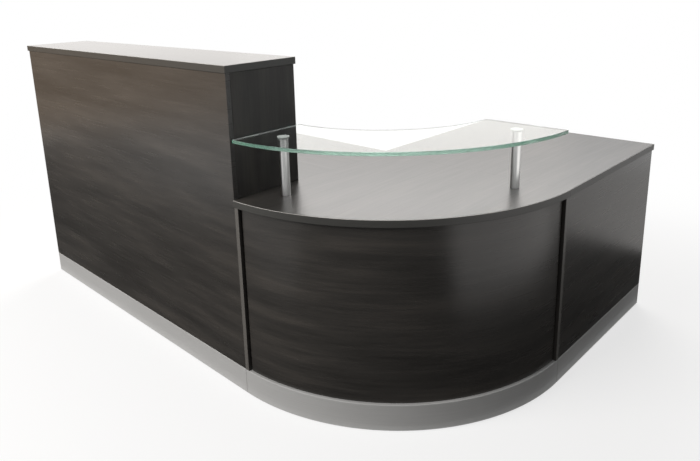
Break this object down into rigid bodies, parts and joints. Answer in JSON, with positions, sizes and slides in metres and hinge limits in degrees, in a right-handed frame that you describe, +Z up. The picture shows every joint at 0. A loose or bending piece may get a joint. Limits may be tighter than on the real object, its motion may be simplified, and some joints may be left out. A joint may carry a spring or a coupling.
{
  "type": "reception desk",
  "caption": "L-shaped modular reception desk in dark wood-grain laminate: tall counter, quarter-round low corner under a curved glass shelf on posts, low straight wing, silver plinth.",
  "frame": {"origin": "on the floor under the middle of the desk's outline", "axes": "+Z up; the tall unit runs along X and its public front faces -Y; the low wing runs along Y and its public front faces +X"},
  "size_m": [2.405, 1.605, 1.19],
  "materials": {
    "laminate": "satin dark wood-grain melamine laminate",
    "edging": "satin edging strip in the laminate's colour",
    "plinth_foil": "satin silver foil on board",
    "glass": "clear float glass with ground edges",
    "satin_chrome": "polished chrome",
    "zinc_steel": "zinc plated",
    "black_plastic": "moulded black plastic"
  },
  "bodies": {
    "desk": {"tall_front_panel": "laminate", "tall_end_panel_left": "laminate", "tall_end_panel_right": "laminate", "tall_worktop": "laminate", "tall_worktop_edging": "edging", "tall_plinth": "plinth_foil", "counter_side_left": "laminate", "counter_side_right": "laminate", "counter_divider": "laminate", "counter_top": "laminate", "counter_top_edging": "edging", "corner_gable_left": "laminate", "corner_gable_right": "laminate", "corner_curved_panel": "laminate", "corner_battens": "laminate", "corner_worktop": "laminate", "corner_worktop_edging": "edging", "corner_plinth": "plinth_foil", "corner_leg": "satin_chrome", "corner_leg_flange": "satin_chrome", "low_front_panel": "laminate", "low_end_panel_left": "laminate", "low_end_panel_right": "laminate", "low_worktop": "laminate", "low_worktop_edging": "edging", "low_plinth": "plinth_foil", "glass_shelf": "glass", "post_left": "satin_chrome", "post_right": "satin_chrome", "post_discs": "satin_chrome", "post_bolts": "zinc_steel", "post_washers": "zinc_steel", "joining_sleeves": "zinc_steel", "joining_screws": "zinc_steel", "cam_locks": "zinc_steel", "cam_bolts": "zinc_steel", "angle_brackets": "zinc_steel", "joining_plates": "zinc_steel", "foot_inserts": "zinc_steel", "cable_port_liner": "black_plastic"},
    "cable_cap": {"cable_port_cap": "black_plastic"},
    "foot_tall_left_front": {"foot_tall_left_front": "black_plastic"},
    "foot_tall_left_rear": {"foot_tall_left_rear": "black_plastic"},
    "foot_tall_right_front": {"foot_tall_right_front": "black_plastic"},
    "foot_tall_right_rear": {"foot_tall_right_rear": "black_plastic"},
    "foot_gable_left": {"foot_gable_left": "black_plastic"},
    "foot_gable_right": {"foot_gable_right": "black_plastic"},
    "foot_leg": {"foot_leg": "black_plastic"},
    "foot_low_left_front": {"foot_low_left_front": "black_plastic"},
    "foot_low_left_rear": {"foot_low_left_rear": "black_plastic"},
    "foot_low_right_front": {"foot_low_right_front": "black_plastic"},
    "foot_low_right_rear": {"foot_low_right_rear": "black_plastic"}
  },
  "joints": [
    {"name": "cable_cap_turn", "type": "hinge", "parent": "desk", "child": "cable_cap", "pos_m": [0.1525, -0.4275, 0.74], "axis": [0, 0, 1], "continuous": true},
    {"name": "foot_tall_left_front_screw", "type": "slide", "parent": "desk", "child": "foot_tall_left_front", "axis": [0, 0, -1], "range_m": [0, 0.012]},
    {"name": "foot_tall_left_rear_screw", "type": "slide", "parent": "desk", "child": "foot_tall_left_rear", "axis": [0, 0, -1], "range_m": [0, 0.012]},
    {"name": "foot_tall_right_front_screw", "type": "slide", "parent": "desk", "child": "foot_tall_right_front", "axis": [0, 0, -1], "range_m": [0, 0.012]},
    {"name": "foot_tall_right_rear_screw", "type": "slide", "parent": "desk", "child": "foot_tall_right_rear", "axis": [0, 0, -1], "range_m": [0, 0.012]},
    {"name": "foot_gable_left_screw", "type": "slide", "parent": "desk", "child": "foot_gable_left", "axis": [0, 0, -1], "range_m": [0, 0.012]},
    {"name": "foot_gable_right_screw", "type": "slide", "parent": "desk", "child": "foot_gable_right", "axis": [0, 0, -1], "range_m": [0, 0.012]},
    {"name": "foot_leg_screw", "type": "slide", "parent": "desk", "child": "foot_leg", "axis": [0, 0, -1], "range_m": [0, 0.012]},
    {"name": "foot_low_left_front_screw", "type": "slide", "parent": "desk", "child": "foot_low_left_front", "axis": [0, 0, -1], "range_m": [0, 0.012]},
    {"name": "foot_low_left_rear_screw", "type": "slide", "parent": "desk", "child": "foot_low_left_rear", "axis": [0, 0, -1], "range_m": [0, 0.012]},
    {"name": "foot_low_right_front_screw", "type": "slide", "parent": "desk", "child": "foot_low_right_front", "axis": [0, 0, -1], "range_m": [0, 0.012]},
    {"name": "foot_low_right_rear_screw", "type": "slide", "parent": "desk", "child": "foot_low_right_rear", "axis": [0, 0, -1], "range_m": [0, 0.012]}
  ]
}
